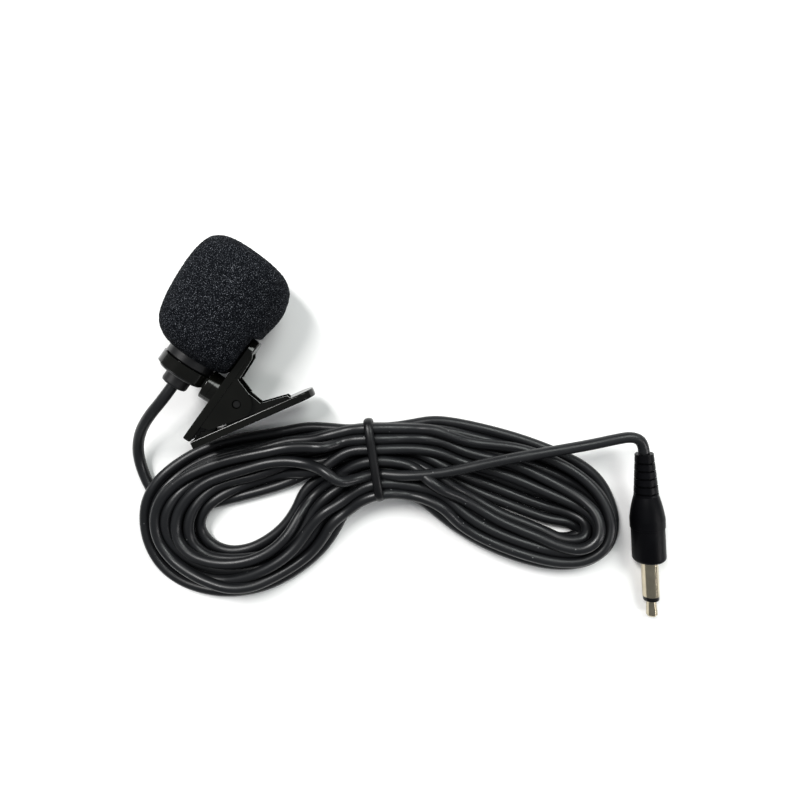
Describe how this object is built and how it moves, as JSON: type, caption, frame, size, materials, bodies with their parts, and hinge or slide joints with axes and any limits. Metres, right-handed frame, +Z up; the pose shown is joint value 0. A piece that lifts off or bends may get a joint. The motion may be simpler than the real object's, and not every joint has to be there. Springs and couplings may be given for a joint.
{
  "type": "lavalier microphone",
  "caption": "Clip-on lavalier microphone with foam windscreen, swivelling spring clip, and a thin lead tied in a hank that ends in a moulded 3.5 mm plug.",
  "frame": {"origin": "on the table, under the middle of the box round the microphone and its clip, without the lead", "axes": "+Y along the microphone towards the windscreen's domed front, +Z up from the table, +X towards the clip's side"},
  "size_m": [0.1221, 0.0834, 0.0214],
  "materials": {
    "foam": "matte open-cell polyurethane foam",
    "housing_plastic": "satin moulded ABS",
    "clip_plastic": "polished moulded ABS",
    "bushing_rubber": "satin elastomer",
    "cord_pvc": "semi-gloss soft PVC",
    "tie_rubber": "matte rubber band",
    "boot_pvc": "matte-satin moulded PVC",
    "contact_nickel": "polished nickel plate with a warm tint",
    "insulator_black": "polished insulating resin",
    "insulator_white": "natural moulded insulator",
    "can_aluminium": "satin drawn aluminium",
    "spring_steel": "zinc-plated spring wire",
    "pin_steel": "plated steel",
    "brass_ring": "turned brass",
    "film": "metallised polyester film",
    "felt": "pressed felt",
    "board": "glass-epoxy board",
    "chip_resin": "moulded epoxy",
    "solder": "tin solder",
    "wire_red": "red insulated wire",
    "wire_copper": "bare stranded copper"
  },
  "bodies": {
    "mic": {"rear_housing": "housing_plastic", "front_housing": "housing_plastic", "rear_cap": "housing_plastic", "cable_bushing": "bushing_rubber", "capsule_boot": "bushing_rubber", "capsule_can": "can_aluminium", "capsule_dust_felt": "felt", "diaphragm_ring": "brass_ring", "diaphragm": "film", "capsule_spacer": "film", "backplate": "brass_ring", "capsule_chamber": "insulator_white", "gate_ring": "brass_ring", "circuit_board": "board", "jfet_chip": "chip_resin", "solder_joints": "solder", "signal_wire": "wire_red", "shield_wire": "wire_copper", "cord_stopper": "boot_pvc", "cable_tail": "cord_pvc", "mic_lead": "cord_pvc", "plug_lead": "cord_pvc", "cable_hank": "cord_pvc", "hank_tie_band": "tie_rubber", "plug_sleeve": "contact_nickel", "plug_tip": "contact_nickel", "plug_insulator": "insulator_black", "plug_premould": "insulator_white", "plug_boot": "boot_pvc"},
    "holder": {"holder_ring": "clip_plastic", "swivel_rivet": "pin_steel"},
    "windscreen": {"foam_windscreen": "foam"},
    "clip_upper": {"upper_jaw": "clip_plastic", "jaw_pin": "pin_steel", "jaw_spring": "spring_steel"},
    "clip_lower": {"lower_jaw": "clip_plastic"}
  },
  "joints": [
    {"name": "holder_swing", "type": "hinge", "parent": "mic", "child": "holder", "pos_m": [-0.00668, -0.00795, 0.01071], "axis": [0, -1, 0], "range_deg": [0, 200]},
    {"name": "windscreen_pull", "type": "slide", "parent": "holder", "child": "windscreen", "axis": [0, 1, 0], "range_m": [0, 0.026]},
    {"name": "clip_swivel", "type": "hinge", "parent": "holder", "child": "clip_upper", "pos_m": [-0.00018, -0.00815, 0.00956], "axis": [-0.9848, 0, 0.1736], "range_deg": [0, 60]},
    {"name": "jaw_open", "type": "hinge", "parent": "clip_upper", "child": "clip_lower", "pos_m": [0.00563, -0.00775, 0.00854], "axis": [0.1736, 0, 0.9848], "range_deg": [0, 25], "stiffness_Nm_per_rad": 0.02, "springref_deg": -28.65, "deforming": ["jaw_spring"]}
  ]
}
